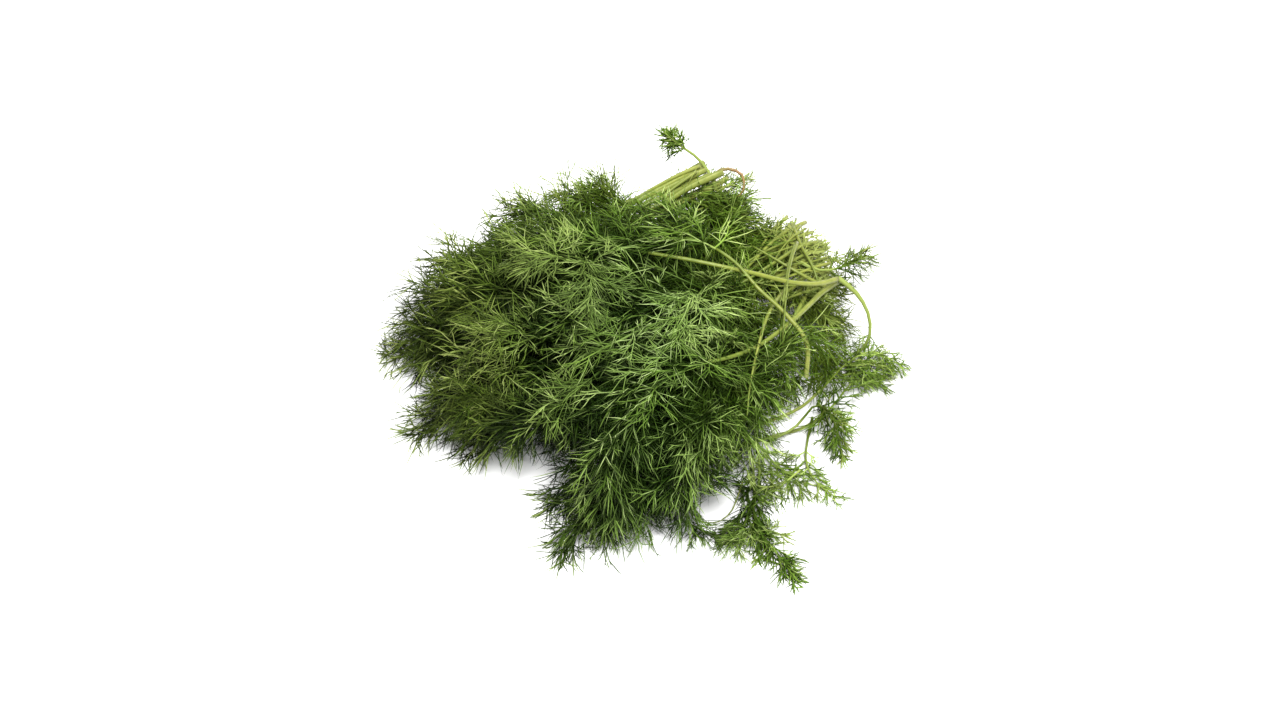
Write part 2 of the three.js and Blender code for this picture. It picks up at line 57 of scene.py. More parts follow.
# name, radius of the cut end, share that is bare stem, size of the leaf's feathers, route
SPRIGS = [
    # over the top of the heap
    ("crown_left", 1.5, 0.6, 1,
     [[113, 49, 44], [102, 38, 52], [84, 30, 62], [67, 28, 70], [45, 27, 78], [11, 34, 80], [-28, 43, 76],
      [-71, 57, 58]]),
    ("crown_right", 1.7, 0.66, 1,
     [[114, 56, 34], [103, 40, 42], [88, 15, 52], [70, -11, 62], [51, -31, 70], [31, -41, 76],
      [5, -60, 76], [-21, -69, 60]]),
    ("crown_middle", 1.6, 0.24, 1,
     [[106, 83, 30], [68, 44, 44], [14, 9, 66], [-22, -9, 72], [-54, -7, 68], [-88, 3, 50]]),
    ("crown_front", 1.6, 0.24, 1,
     [[108, 83, 22], [59, 16, 42], [13, -32, 64], [-7, -66, 68], [-13, -86, 56], [-15, -99, 30]]),
    ("crown_low", 1.6, 0.24, 1,
     [[101, 107, 16], [45, 19, 34], [-5, -33, 54], [-42, -56, 54], [-83, -54, 32]]),
    ("front_drape", 1.5, 0.26, 1,
     [[105, 73, 24], [81, 8, 42], [52, -39, 56], [34, -68, 56], [27, -86, 42], [25, -97, 16]]),
    ("arched", 1.4, 0.66, 1,
     [[89, -18, 34], [91, -12, 42], [88, -4, 50], [79, 5, 58], [67, 14, 66], [58, 21, 72], [48, 32, 78],
      [28, 45, 80], [0, 59, 72]]),
    # from the cut ends at the back
    ("back_plume", 2.1, 0.5, 0.9,
     [[48, 118, 62], [29, 106, 62], [6, 91, 60], [-20, 91, 57], [-46, 116, 49]]),
    ("back_left", 2.1, 0.36, 1.05,
     [[37, 124, 60], [15, 107, 60], [-23, 82, 60], [-51, 87, 54], [-76, 107, 40]]),
    ("upper_left", 2.1, 0.34, 1.15,
     [[44, 117, 52], [6, 94, 52], [-37, 63, 56], [-78, 64, 42], [-116, 80, 24]]),
    ("back_curl", 1.6, 0.2, 0.95,
     [[9, 108, 52], [28, 102, 52], [44, 99, 46], [58, 94, 36], [72, 91, 26]]),
    # lying low, out to the left and the front
    ("left_upper", 1.6, 0.24, 1.2,
     [[96, 106, 24], [46, 57, 36], [-17, 33, 54], [-80, 46, 42], [-131, 59, 16]]),
    ("left_tip", 1.7, 0.26, 1.2,
     [[105, 108, 8], [53, 58, 16], [-23, 25, 34], [-90, 18, 24], [-145, 26, 5]]),
    ("left_between", 1.6, 0.24, 1.15,
     [[89, 97, 30], [43, 51, 32], [-20, 24, 50], [-77, 30, 38], [-138, 41, 13]]),
    ("left_low", 1.7, 0.26, 1.2,
     [[100, 123, 3], [47, 56, 5], [-23, 11, 20], [-82, -11, 16], [-126, -29, 3]]),
    ("left_lower", 1.6, 0.26, 1.15,
     [[94, 130, 3], [44, 40, 5], [-10, -8, 18], [-58, -25, 16], [-102, -36, 3]]),
    ("front_left", 1.7, 0.28, 1.05,
     [[112, 85, 14], [57, 25, 18], [7, -31, 30], [-24, -60, 26], [-44, -79, 4]]),
    ("front_low", 1.7, 0.28, 1.1,
     [[105, 100, 4], [67, 29, 9], [22, -33, 22], [-13, -77, 24], [-42, -108, 3]]),
    ("front_tip", 1.7, 0.3, 0.95,
     [[112, 81, 8], [76, 18, 18], [31, -47, 36], [0, -79, 30], [-20, -103, 3]]),
    ("open_spray", 1.2, 0.5, 0.85,
     [[82, 40, 44], [71, 9, 60], [65, -14, 64], [61, -31, 54], [61, -35, 28], [66, -50, 6], [63, -78, 3],
      [48, -107, 2]]),
    # loose at the right
    ("right_far", 1.2, 0.5, 0.62,
     [[55, -41, 4], [71, -35, 4], [90, -29, 4], [109, -14, 6], [124, 2, 10], [141, 5, 4]]),
    ("right_tip", 1.1, 0.5, 0.6,
     [[53, -35, 10], [72, -26, 8], [92, -16, 10], [112, 6, 12], [129, 23, 12], [152, 17, 4]]),
    ("low_right", 1, 0.36, 0.52,
     [[53, -31, 20], [61, -50, 8], [62, -75, 5], [62, -96, 4], [71, -110, 3], [82, -128, 2]]),
    ("right_tuft", 1, 0.5, 0.52,
     [[70, -37, 3], [88, -30, 10], [102, -17, 14], [108, -29, 12], [112, -45, 3]]),
    ("right_small", 0.9, 0.34, 0.5,
     [[97, -22, 5], [93, -39, 3], [92, -55, 3], [97, -66, 3], [108, -76, 2]]),
    ("spray_right", 0.9, 0.15, 0.8,
     [[64, -39, 6], [72, -50, 4], [81, -59, 3], [91, -67, 2]]),
    ("right_top", 1, 0.4, 0.6,
     [[93, 66, 40], [108, 60, 38], [119, 64, 40], [132, 73, 38]]),
    ("right_under", 1, 0.15, 0.8,
     [[75, 49, 34], [90, 47, 30], [104, 43, 22], [117, 40, 10]]),
    ("right_edge", 1.1, 0.15, 0.8,
     [[76, 38, 22], [93, 32, 14], [105, 25, 8], [110, 5, 3]]),
    ("lone", 1, 0.7, 0.5,
     [[46, 109, 56], [38, 121, 66], [26, 126, 74], [16, 131, 79]]),
    ("right_loop", 1.3, 0.7, 0.5,
     [[114, 51, 42], [122, 47, 38], [130, 39, 30], [134, 32, 22], [132, 26, 14], [127, 22, 6]]),
    ("hanging", 1, 0.7, 0.5,
     [[91, 75, 46], [85, 48, 54], [81, 20, 60], [79, 7, 58], [79, -8, 50], [78, -10, 40]]),
    # underneath and behind
    ("behind_left", 1.8, 0.28, 1,
     [[98, 92, 8], [60, 96, 12], [5, 98, 26], [-50, 98, 22], [-104, 92, 2]]),
    ("behind_middle", 2, 0.36, 1,
     [[112, 62, 0], [78, 80, 0], [32, 98, 0], [4, 108, 8], [-42, 122, 2]]),
    ("behind_right", 1.7, 0.2, 1,
     [[20, 70, 40], [40, 83, 42], [58, 92, 36], [76, 94, 18]]),
]
# green all along, in one piece
SLIGHT = ("low_right", "right_tuft", "right_small", "spray_right", "right_top",
          "right_under", "right_edge", "lone", "right_loop", "hanging")

# flat open fronds, loose at the edge of the heap
OPEN = ("open_spray", "right_far", "right_tip", "right_small", "spray_right", "right_loop", "hanging")
# how much closer than usual the small leaves of some sprigs stand; these leaves are also painted darker, as
# painted shade
CLOSER = {"lone": 4.0, "right_top": 1.8, "right_tuft": 1.5, "spray_right": 1.2, "right_far": 1.3,
          "right_tip": 1.2, "low_right": 1.0, "open_spray": 0.75, "right_under": 2.1}
# Each number seeds the draws of its stalk or leaf: sprigs count from 0, and spare ones from these.
SPARE_STALK_NUMBER, SPARE_LEAF_NUMBER = 100, 200
# cut stalks among the bare ends, which no solid stands for: name, radius and route
DRY_STALK = "spare_c"
SPARE_STALKS = [
    ("spare_a", 2, [[41, 117, 60], [23, 105, 60], [3, 95, 58], [-18, 93, 52]]),
    ("spare_b", 1.7, [[52, 121, 54], [35, 109, 54], [15, 98, 54], [-6, 92, 50]]),
    ("spare_c", 1.2,
     [[40, 113, 61], [48, 118, 64], [57, 118, 64], [61, 114, 61], [62, 109, 58], [58, 106, 54],
      [51, 107, 49]]),
    ("spare_d", 1.5, [[107, 91, 31], [92, 77, 40], [72, 55, 46], [51, 35, 50]]),
    ("spare_e", 1.4, [[100, 112, 26], [83, 93, 34], [65, 62, 44], [48, 35, 50]]),
    ("spare_f", 1.3, [[115, 55, 26], [98, 52, 40], [81, 60, 46], [65, 71, 48]]),
    ("spare_g", 1.2, [[91, 108, 30], [95, 77, 40], [101, 58, 40], [105, 48, 30]]),
    ("spare_h", 2, [[39, 120, 62], [21, 108, 62], [0, 97, 60], [-20, 96, 54]]),
    ("spare_i", 1.8, [[38, 130, 58], [19, 115, 58], [-1, 102, 56], [-23, 96, 52]]),
    ("spare_j", 1.5, [[45, 120, 52], [28, 108, 52], [9, 97, 52], [-11, 90, 48]]),
    ("spare_k", 1, [[89, 115, 28], [78, 96, 34], [68, 73, 38], [59, 52, 40]]),
    ("spare_l", 1.1, [[103, 100, 30], [89, 87, 36], [72, 72, 42], [55, 56, 44]]),
    ("spare_m", 1.2, [[111, 87, 30], [95, 73, 38], [77, 54, 44], [59, 37, 46]]),
    ("spare_n", 1, [[96, 105, 30], [86, 84, 36], [76, 61, 42], [70, 41, 42]]),
    ("spare_o", 1.1, [[113, 73, 32], [100, 63, 38], [84, 50, 44], [66, 43, 46]]),
    ("spare_p", 1, [[108, 58, 28], [95, 46, 36], [79, 34, 42], [63, 26, 46]]),
    ("spare_q", 0.9, [[82, 107, 28], [89, 89, 34], [97, 71, 38], [104, 57, 34]]),
    ("spare_s", 1.3, [[35, 121, 64], [16, 110, 63], [0, 99, 61], [-16, 93, 57]]),
    ("spare_t", 1.2, [[40, 119, 58], [26, 110, 60], [12, 102, 60], [-5, 92, 56]]),
    ("spare_u", 1, [[45, 119, 56], [29, 110, 58], [14, 105, 58], [0, 104, 56], [-13, 101, 52]]),
    ("spare_v", 0.9, [[54, 119, 50], [38, 109, 54], [23, 99, 54], [6, 90, 50]]),
    ("spare_w", 0.8, [[57, 114, 46], [42, 103, 50], [29, 95, 50], [16, 86, 48]]),
    ("spare_x", 1.1, [[33, 114, 66], [21, 104, 64], [10, 95, 60], [0, 83, 54]]),
    ("spare_aa", 0.7, [[99, 99, 34], [91, 89, 38], [81, 72, 42], [75, 56, 44]]),
    ("spare_ab", 0.7, [[94, 111, 30], [90, 94, 36], [85, 75, 40], [82, 59, 42]]),
    ("spare_ac", 0.8, [[107, 92, 30], [94, 82, 38], [80, 72, 42], [63, 60, 46]]),
    ("spare_ad", 0.7, [[112, 78, 32], [100, 68, 38], [88, 62, 42], [74, 62, 44]]),
    ("spare_ae", 0.8, [[113, 65, 32], [102, 60, 38], [89, 58, 42], [72, 52, 46]]),
    ("spare_af", 0.7, [[84, 110, 28], [85, 93, 34], [89, 74, 38], [95, 57, 38]]),
    ("spare_ag", 0.6, [[78, 102, 30], [85, 87, 36], [94, 81, 38], [105, 83, 34]]),
    ("spare_ah", 0.9, [[111, 57, 34], [95, 49, 40], [80, 43, 44], [64, 43, 48]]),
    ("spare_ba", 0.8, [[91, 72, 50], [84, 42, 60], [80, 13, 67], [78, 0, 65], [78, -13, 56], [78, -15, 45]]),
    ("spare_bb", 0.85,
     [[67, -6, 66], [64, -20, 70], [62, -28, 70], [60, -37, 68], [58, -46, 65], [57, -55, 63],
      [56, -63, 60]]),
    ("spare_bc", 0.5, [[56, -68, 9], [52, -79, 6], [47, -88, 4], [39, -92, 3], [31, -90, 3]]),
    ("spare_r", 0.9, [[75, 104, 26], [81, 83, 34], [91, 66, 40], [103, 60, 38]]),
]
# loose leaf, which no solid stands for: name, size, how young it is, and route. The first part of the
# name says which piece it belongs to.
SPARE_BUTT, SPARE_BARE = 0.7, 0.08  # the radius of its cut end, and the share that is bare
SPARE_LEAVES = [
    # among the bare ends
    ("bit_a", 0.5, 0.8, [[65, 84, 31], [75, 94, 29], [84, 106, 25]]),
    ("bit_b", 0.5, 0.8, [[84, 81, 31], [92, 89, 29], [98, 98, 25]]),
    ("bit_c", 0.5, 0.8, [[90, 70, 31], [100, 76, 29], [109, 83, 25]]),
    ("bit_d", 0.55, 0.8, [[93, 58, 31], [103, 57, 27], [110, 55, 21]]),
    ("bit_e", 0.5, 0.3, [[39, 107, 50], [49, 105, 48], [58, 103, 44]]),
    ("bit_f", 0.5, 0.3, [[29, 106, 54], [40, 106, 54], [50, 108, 50]]),
    ("bit_g", 0.5, 0.8, [[80, 71, 33], [88, 78, 31], [96, 88, 27]]),
    ("bit_h", 0.5, 0.8, [[63, 99, 33], [70, 97, 31], [79, 100, 25]]),
    ("bit_i", 0.45, 0, [[48, 111, 54], [53, 116, 54], [57, 122, 52]]),
    ("bit_j", 0.5, 0.8, [[73, 78, 31], [83, 86, 29], [93, 95, 25]]),
    ("bit_k", 0.5, 0.8, [[87, 67, 29], [98, 70, 27], [108, 77, 23]]),
    # young plumes over the heap
    ("plume_a", 0.85, 0.36, [[-22, 33, 70], [-40, 27, 83], [-68, 35, 82]]),
    ("plume_b", 0.85, 0.3, [[-30, 42, 70], [-26, 8, 84], [-32, -17, 78]]),
    ("plume_c", 0.8, 0.14, [[-43, -11, 58], [-62, -17, 72], [-90, -5, 66]]),
    ("plume_d", 0.9, 0.16, [[36, 20, 70], [23, -16, 84], [13, -36, 80]]),
    ("plume_e", 0.8, 0.16, [[-49, -54, 34], [-67, -51, 34], [-87, -39, 26]]),
    ("plume_f", 0.85, 0.22, [[-6, -68, 62], [-11, -83, 46], [-15, -99, 24]]),
    ("plume_g", 0.8, 0.12, [[40, -34, 70], [23, -43, 72], [5, -50, 70]]),
    ("plume_h", 0.8, 0.2, [[35, -38, 70], [31, -53, 64], [26, -68, 56]]),
    ("plume_i", 0.75, 0.2, [[-21, -43, 72], [-34, -54, 68], [-48, -61, 60]]),
    ("plume_j", 0.8, 0.3, [[35, -49, 66], [27, -72, 64], [19, -85, 53]]),
    ("plume_k", 0.7, 0.2, [[45, -51, 60], [39, -66, 57], [32, -79, 53]]),
    # in the dips between the long fronds
    ("mid_a", 1, 0.05, [[-35, -21, 50], [-66, -18, 46], [-97, -8, 36]]),
    ("mid_b", 1, 0, [[-59, -34, 44], [-85, -31, 36], [-111, -21, 22]]),
    ("mid_c", 1, 0.05, [[-65, 47, 52], [-86, 61, 44], [-109, 65, 32]]),
    ("mid_d", 1, 0.05, [[-61, 20, 58], [-84, 30, 50], [-112, 41, 36]]),
    ("mid_e", 0.9, 0.1, [[56, -55, 46], [52, -66, 38], [48, -70, 27]]),
    ("mid_f", 0.95, 0.05, [[26, -73, 52], [22, -82, 40], [19, -89, 24]]),
    ("mid_g", 0.9, 0.05, [[5, -84, 40], [1, -86, 26], [-3, -85, 10]]),
    ("mid_h", 0.95, 0.1, [[0, -21, 80], [-16, -32, 80], [-32, -32, 72]]),
    ("mid_i", 0.9, 0.05, [[52, -3, 62], [44, -30, 66], [34, -46, 60]]),
    ("mid_j", 0.9, 0.05, [[68, -16, 52], [62, -39, 50], [54, -53, 40]]),
    # loose at the right
    ("bit_l", 0.5, 0.05, [[116, 7, 8], [127, 9, 8], [139, 10, 5]]),
    ("bit_m", 0.5, 0.05, [[118, 14, 8], [130, 16, 9], [142, 15, 5]]),
    ("bit_n", 0.5, 0.05, [[59, -83, 5], [55, -96, 4], [47, -104, 3]]),
    ("bit_o", 0.5, 0.05, [[62, -90, 4], [57, -101, 4], [49, -107, 3]]),
    ("bit_p", 0.6, 0.1, [[88, -58, 5], [80, -65, 4], [70, -74, 3]]),
    ("bit_q", 0.4, 0.05, [[22, -90, 4], [35, -97, 3], [52, -103, 3]]),
    ("bit_r", 0.5, 0.3, [[95, 11, 12], [91, 2, 10], [84, -9, 7]]),
    # low leaves that close the heap down to the table
    ("low_a", 1, 0, [[-42, 85, 14], [-80, 74, 12], [-107, 67, 6]]),
    ("low_k", 0.9, 0.05, [[12, 108, 44], [30, 104, 42], [48, 102, 36]]),
    ("low_b", 1, 0, [[-46, 15, 14], [-77, 8, 12], [-108, -1, 6]]),
    ("low_c", 1, 0, [[-65, 54, 12], [-97, 44, 9], [-126, 39, 4]]),
    ("low_d", 0.9, 0, [[-57, -4, 10], [-77, -8, 8], [-90, -10, 3]]),
    ("low_e", 0.8, 0, [[-17, -33, 12], [-31, -37, 8], [-45, -40, 3]]),
    ("low_f", 0.9, 0, [[36, 109, 24], [59, 103, 20], [78, 101, 12]]),
    ("low_g", 0.9, 0, [[36, 81, 24], [62, 76, 18], [89, 71, 10]]),
    ("low_h", 0.8, 0, [[-86, 18, 10], [-99, 12, 7], [-108, 6, 3]]),
    ("low_i", 0.75, 0, [[0, -65, 14], [-15, -76, 9], [-27, -86, 3]]),
    ("low_l", 0.9, 0.25, [[9, 104, 34], [30, 109, 32], [50, 114, 28]]),
    ("low_m", 0.9, 0.25, [[17, 111, 38], [37, 117, 36], [57, 122, 30]]),
    ("low_n", 0.9, 0.1, [[-52, 93, 34], [-30, 106, 32], [-7, 121, 26]]),
]
# stouter stalks than usual
STOUTER = {"lone": 1.4, "right_loop": 1.35}
# broader, flatter leaf segments than usual
BROAD = {"low_right": 1.5, "right_tuft": 1.4, "right_small": 1.3, "spray_right": 1.2, "lone": 1.3,
         "right_far": 1.35, "right_tip": 1.3, "open_spray": 0.85}
# younger and yellower leaf than usual
YOUNGER = {"right_edge": 0.3, "right_under": 0.45, "right_top": 0.1, "back_plume": 0.14, "back_left": 0.12,
           "upper_left": 0.12}
# a loose leaf that is younger than this has fewer and broader small leaves
MOSTLY_YOUNG, YOUNG_CLOSER, YOUNG_BROAD = 0.6, 0.6, 1.5

UP = np.array([0.0, 0.0, 1.0])


def unit(v):
    return v / np.maximum(np.linalg.norm(v, axis=-1, keepdims=True), 1e-9)


def dot(a, b):
    return np.sum(a * b, axis=-1, keepdims=True)


def curve_point(route, t):
    """A point of the centripetal Catmull-Rom curve through a route."""
    last = len(route) - 1
    k = min(int(last * t), last - 1)
    w = last * t - k
    p1, p2 = route[k], route[k + 1]
    p0 = route[k - 1] if k > 0 else 2 * route[0] - route[1]
    p3 = route[k + 2] if k + 2 <= last else 2 * route[last] - route[last - 1]
    d0, d1, d2 = (np.sqrt(np.linalg.norm(b - a)) for a, b in ((p0, p1), (p1, p2), (p2, p3)))
    m1 = ((p1 - p0) / d0 - (p2 - p0) / (d0 + d1) + (p2 - p1) / d1) * d1
    m2 = ((p2 - p1) / d1 - (p3 - p1) / (d1 + d2) + (p3 - p2) / d2) * d1
    return p1 + m1 * w + (3 * (p2 - p1) - 2 * m1 - m2) * w**2 + (2 * (p1 - p2) + m1 + m2) * w**3


class Sprig:
    """A sprig laid along its route: even points that settle, and smooth places between them."""

    def __init__(self, number, name, butt, leaf_from, size, route):
        self.number, self.name, self.butt, self.leaf_from, self.size = number, name, butt, leaf_from, size
        self.slight = name in SLIGHT or number >= SPARE_LEAF_NUMBER
        route = np.array(route, float) - [*HEAP_CENTRE, 0]
        fine = np.array([curve_point(route, k / FINE_STEPS) for k in range(FINE_STEPS + 1)])
        reach = np.concatenate([[0], np.cumsum(np.linalg.norm(np.diff(fine, axis=0), axis=1))])
        self.length = reach[-1]
        self.steps = max(4, int(self.length / STEP + 0.5))
        places = np.linspace(0, self.length, self.steps + 1)
        even = np.interp(places, reach, np.linspace(0, 1, FINE_STEPS + 1))
        self.points = np.array([curve_point(route, t) for t in even])
        self.radii = butt * (1 - TAPER * np.arange(self.steps + 1) / self.steps)
        near_tip = np.arange(self.steps + 1) >= self.steps - TIP_STEPS
        self.room = np.where(near_tip, TIP_ROOM, self.radii + GAP)
        self.end_start = 1 - size * END_FEATHER / self.length

    def at(self, share):
        """Points at shares of the length, on a smooth curve through the settled points."""
        share = np.asarray(share, float)
        ends = np.vstack([2 * self.points[0] - self.points[1], self.points,
                          2 * self.points[-1] - self.points[-2]])
        k = np.clip((share * self.steps).astype(int), 0, self.steps - 1)
        w = (share * self.steps - k)[..., None]
        a, b, c, d = (ends[k + i] for i in range(4))
        return 0.5 * (2 * b + (c - a) * w + (2 * a - 5 * b + 4 * c - d) * w**2 + (3 * (b - c) + d - a) * w**3)

    def along(self, share):
        share = np.asarray(share, float)
        step = 0.5 / self.length
        return unit(self.at(np.minimum(share + step, 1)) - self.at(np.maximum(share - step, 0)))

    def radius(self, share):
        return self.butt * (1 - TAPER * np.asarray(share, float))


def settle(sprigs):
    """The sprigs press each other apart until every two are clear, and none sinks into the table."""
    start = np.vstack([s.points for s in sprigs])
    points = start.copy()
    first = np.cumsum([0] + [s.steps + 1 for s in sprigs])
    before, after, floor = [], [], []
    segments, room, owner = [], [], []
    for i, s in enumerate(sprigs):
        k = np.arange(s.steps + 1)
        before.append(first[i] + np.maximum(k - 1, 0))
        after.append(first[i] + np.minimum(k + 1, s.steps))
        floor.append(s.radii * APOTHEM)
        segments.append(first[i] + k[:-1])
        room.append(s.room[:-1])
        owner.append(np.full(s.steps, i))
    before, after, floor, segments, room, owner = map(
        np.concatenate, (before, after, floor, segments, room, owner))
    one, other = np.nonzero(owner[:, None] < owner[None, :])
    for _ in range(SETTLE_ROUNDS):
        near = np.linalg.norm(points[segments[one]] - points[segments[other]], axis=1)
        keep = near <= room[one] + room[other] + NEAR
        i, j = segments[one[keep]], segments[other[keep]]
        clear = room[one[keep]] + room[other[keep]]
        a, b, c, d = points[i], points[i + 1], points[j], points[j + 1]
        u, v, w = b - a, d - c, a - c
        uu, uv, vv = (np.sum(x, axis=1) for x in (u * u, u * v, v * v))
        uw, vw = np.sum(u * w, axis=1), np.sum(v * w, axis=1)
        skew = uu * vv - uv * uv
        parallel = skew < 1e-6 * uu * vv
        s = np.where(parallel, 0.5, np.clip((uv * vw - vv * uw) / np.where(parallel, 1, skew), 0, 1))
        t = np.clip((vw + s * uv) / vv, 0, 1)
        s = np.clip((t * uv - uw) / uu, 0, 1)
        apart = a + u * s[:, None] - c - v * t[:, None]
        distance = np.linalg.norm(apart, axis=1)
        close = distance < clear
        i, j, s, t, apart, distance, clear = (x[close] for x in (i, j, s, t, apart, distance, clear))
        push = np.where(distance[:, None] > 0.01, apart / np.maximum(distance, 1e-9)[:, None], UP)
        push = push * ((clear - distance) / 2)[:, None]
        for index, part in ((i, 1 - s), (i + 1, s), (j, t - 1), (j + 1, -t)):
            np.add.at(points, index, push * part[:, None])
        moved = points - start
        points = points + SETTLE_EVENING * (0.5 * (moved[before] + moved[after]) - moved)
        points[:, 2] = np.maximum(points[:, 2], floor)
    for i, s in enumerate(sprigs):
        s.points = points[first[i]:first[i + 1]]


# ---- How deep a point lies in the heap, which sets the leaf's painted shade ----
CELL = 6.0  # a square of the grid that each view keeps, CELLS on a side
CELLS = 72
OUTSIDE = 200.0  # beyond every point of the heap
OPEN_SLOPE = math.radians(45)  # how far the sloping views lean from upright
OPEN_WAYS = [(0.0, 0.0, 1.0)] + [
    (math.sin(OPEN_SLOPE) * math.cos(turn), math.sin(OPEN_SLOPE) * math.sin(turn), math.cos(OPEN_SLOPE))
    for turn in (math.pi * k / 3 for k in range(6))]
DEEP_FROM, DEEP_TO = 1.5, 9.5  # how far under the leaves the shade begins, and where it is full


class Heap:
    """Where the heap ends, seen from above and from six slopes round it."""

    def __init__(self):
        self.views = []
        for way in np.array(OPEN_WAYS):
            level = unit(np.cross(way, (0.0, 1.0, 0.0) if abs(way[1]) < 0.6 else (1.0, 0.0, 0.0)))
            self.views.append((way, level, np.cross(way, level), np.full((CELLS, CELLS), -OUTSIDE)))

    def cell(self, points, level, other):
        flat = np.stack([points @ level, points @ other], axis=1)
        ij = np.clip((flat / CELL + CELLS / 2).astype(int), 0, CELLS - 1)
        return ij[:, 0], ij[:, 1]

    def grow(self, points):
        for way, level, other, top in self.views:
            np.maximum.at(top, self.cell(points, level, other), points @ way)

    def deepness(self, points):
        """From 0 in the open to 1 deep under the leaves on every side."""
        under = np.full(len(points), OUTSIDE)
        for way, level, other, top in self.views:
            padded = np.pad(top, 1, mode="edge")
            evened = sum(padded[i:i + CELLS, j:j + CELLS] for i in range(3) for j in range(3)) / 9
            under = np.minimum(under, evened[self.cell(points, level, other)] - points @ way)
        return np.clip((under - DEEP_FROM) / (DEEP_TO - DEEP_FROM), 0, 1)


heap = Heap()


# ---- Making closed meshes ----
MM = 0.001  # in the scene's unit
FLOOR_REST = 0.02  # nothing lies lower than this over the table
ODD_WAY = unit(np.array([0.31, 0.17, 0.93]))  # no rod runs along it, so each has a side to start from


def add_object(name, data):
    thing = bpy.data.objects.new(name, data)
    bpy.context.scene.collection.objects.link(thing)
    return thing


class Mass:
    """Closed solids gathered for one piece, with the values that its material reads at each point."""

    NAMES = ("tint", "young", "along", "deep")

    def __init__(self):
        self.points, self.values, self.triangles, self.flat, self.count = [], [], [], [], 0

    def add(self, points, values, triangles, flat=None):
        self.points.append(points)
        self.values.append(values)
        self.triangles.append(triangles + self.count)
        self.flat.append(np.zeros(len(triangles), bool) if flat is None else flat)
        self.count += len(points)

    def prisms(self, path, tip, radius, tint, young, along, turn):
        """Many pointed rods at once. path is (n, rings, 3); each has three sides and a closed base."""
        n, rings, _ = path.shape
        if not n:
            return
        whole = np.concatenate([path, tip[:, None]], axis=1)
        ahead = unit(whole[:, 1:] - whole[:, :-1])
        ahead[:, 1:] = unit(ahead[:, 1:] + ahead[:, :-1])
        u = unit(np.cross(ahead, ODD_WAY))
        w = np.cross(ahead, u)
        corners = []
        for i in range(3):
            angle = turn[:, None, None] + 2 * math.pi * i / 3
            corners.append(path + radius[..., None] * (np.cos(angle) * u + np.sin(angle) * w))
        ring_points = np.stack(corners, axis=2).reshape(n, rings * 3, 3)
        points = np.concatenate([ring_points, tip[:, None]], axis=1)
        points[..., 2] = np.maximum(points[..., 2], FLOOR_REST)
        triangles = [[0, 2, 1]]
        for r in range(rings - 1):
            for i in range(3):
                a, b = 3 * r + i, 3 * r + (i + 1) % 3
                triangles += [[a, b, a + 3], [b, b + 3, a + 3]]
        for i in range(3):
            triangles.append([3 * (rings - 1) + i, 3 * (rings - 1) + (i + 1) % 3, 3 * rings])
        triangles = np.array(triangles)
        size = 3 * rings + 1
        values = np.empty((n, size, 3))
        values[..., 0] = tint[:, None]
        values[..., 1] = young[:, None]
        values[..., 2] = np.concatenate([np.repeat(along[:, :-1], 3, axis=1), along[:, -1:]], axis=1)
        self.add(points.reshape(-1, 3), values.reshape(-1, 3),
                 (triangles[None] + size * np.arange(n)[:, None, None]).reshape(-1, 3))

    def tube(self, centres, ahead, radii, sides, ripple, values, ribs=0.0):
        """A round tube with flat ends. ripple gives each side's share of the radius, ribs its tint."""
        side = unit(np.cross(ahead, UP))
        up = np.cross(side, ahead)
        turn = 2 * math.pi * np.arange(sides) / sides
        ring = np.cos(turn)[None, :, None] * side[:, None] + np.sin(turn)[None, :, None] * up[:, None]
        points = centres[:, None] + ring * radii[:, None, None] * ripple[None, :, None]
        points[..., 2] = np.maximum(points[..., 2], FLOOR_REST)
        rings = len(centres)
        triangles, flat = [], []
        for r in range(rings - 1):
            for i in range(sides):
                a, b = r * sides + i, r * sides + (i + 1) % sides
                triangles += [[a, b, a + sides], [b, b + sides, a + sides]]
                flat += [False, False]
        last = (rings - 1) * sides
        for i in range(1, sides - 1):
            triangles += [[0, i + 1, i], [last, last + i, last + i + 1]]
            flat += [True, True]
        around = np.repeat(values, sides, axis=0)
        around[:, 0] += np.tile(ribs + np.zeros(sides), rings)
        self.add(points.reshape(-1, 3), around, np.array(triangles), np.array(flat))

    def all_points(self):
        return np.concatenate(self.points)

    def made(self, name, material):
        points = self.all_points() * MM
        triangles = np.concatenate(self.triangles).astype(np.int32)
        flat = np.concatenate(self.flat)
        values = np.concatenate(self.values)
        mesh = bpy.data.meshes.new(name)
        mesh.vertices.add(len(points))
        mesh.vertices.foreach_set("co", points.astype(np.float32).ravel())
        mesh.loops.add(triangles.size)
        mesh.loops.foreach_set("vertex_index", triangles.ravel())
        mesh.polygons.add(len(triangles))
        mesh.polygons.foreach_set("loop_start", np.arange(0, triangles.size, 3, dtype=np.int32))
        mesh.polygons.foreach_set("use_smooth", ~flat)
        mesh.update(calc_edges=True)
        values = np.column_stack([values, heap.deepness(self.all_points())])
        for i, label in enumerate(self.NAMES):
            layer = mesh.attributes.new(label, "FLOAT", "POINT")
            layer.data.foreach_set("value", values[:, i].astype(np.float32))
        mesh.materials.append(material)
        return add_object(name, mesh)


# ---- Stems ----
STALK_SEED = 500
STALK_SIDES, STALK_RING_EVERY = 14, 4
GROOVE, UNEVEN = 0.027, 0.02  # of the radius: how every other side stands out, and by chance
SWELL, SWELL_EVERY = 0.03, 9  # of the radius, along the stalk
# each side's own stripe, paler or darker
RIBS = 0.35 * np.array([1, -0.6, 0.5, -1, 0.8, -0.4, 0.2, -0.9, 1, -0.7, 0.4, -0.8, 0.7, -0.5])


